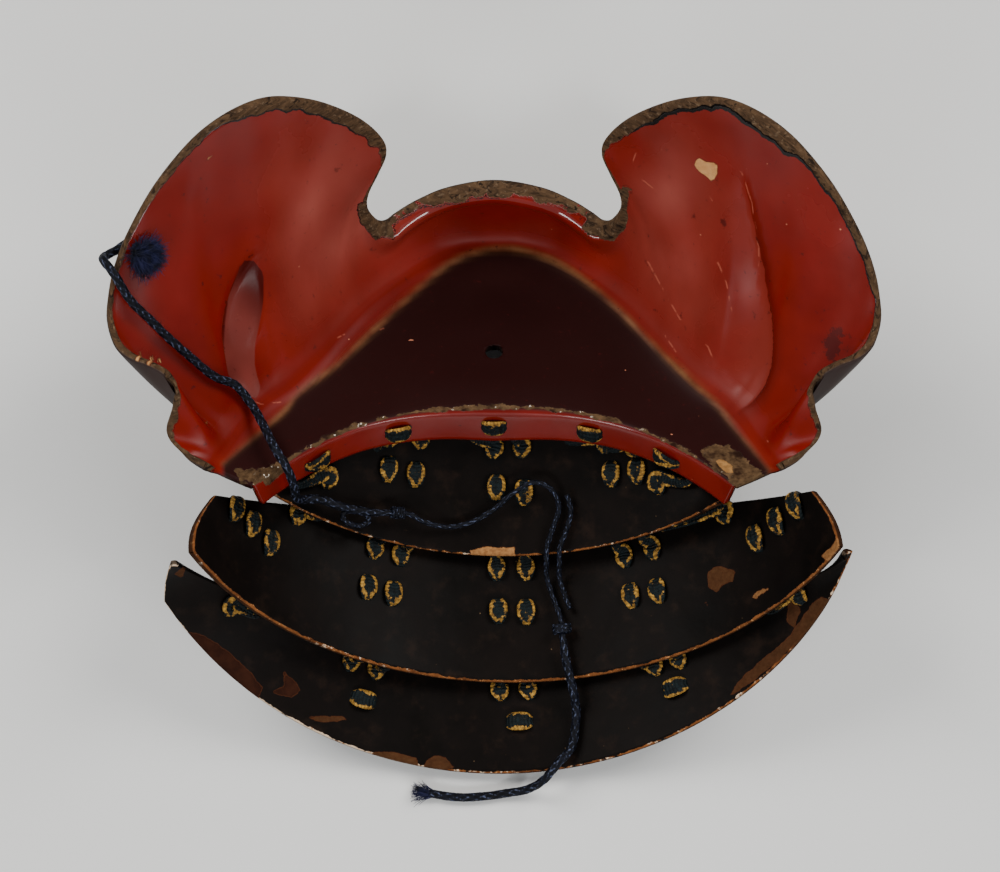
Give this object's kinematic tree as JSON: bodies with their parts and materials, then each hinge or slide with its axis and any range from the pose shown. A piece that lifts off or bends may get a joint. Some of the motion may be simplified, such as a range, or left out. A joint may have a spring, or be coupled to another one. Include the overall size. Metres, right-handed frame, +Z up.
{
  "type": "samurai half face mask with laced throat guard",
  "caption": "Lacquered half mask for the chin and cheeks, with a laced throat guard of curved lames folded back behind it and a braided tie cord laid across.",
  "frame": {"origin": "bottom centre of the bounding box of the mask and its guard, on the surface it lies on", "axes": "+Z up, +Y from the throat towards the chin of the mask, +X across it to the right as seen from the throat"},
  "size_m": [0.1889, 0.1645, 0.0806],
  "materials": {
    "red_lacquer": "gloss lacquer",
    "black_lacquer": "satin lacquer",
    "lacing": "braided silk",
    "cord": "braided cord"
  },
  "bodies": {
    "root": {"mask_shell": "red_lacquer", "lame_1": "black_lacquer", "lame_2": "black_lacquer", "lame_3": "black_lacquer", "lace_left": "lacing", "lace_middle": "lacing", "lace_right": "lacing", "lace_left_end": "lacing", "lace_right_end": "lacing", "lace_knot_left_1": "lacing", "lace_knot_left_2": "lacing", "lace_knot_left_3": "lacing", "lace_knot_right_1": "lacing", "lace_knot_right_2": "lacing", "lace_knot_right_3": "lacing", "tie_cord": "cord", "cord_doubled": "cord", "cord_eye": "cord", "cord_whipping": "cord", "cord_knot": "cord", "tuft": "cord"}
  },
  "joints": []
}
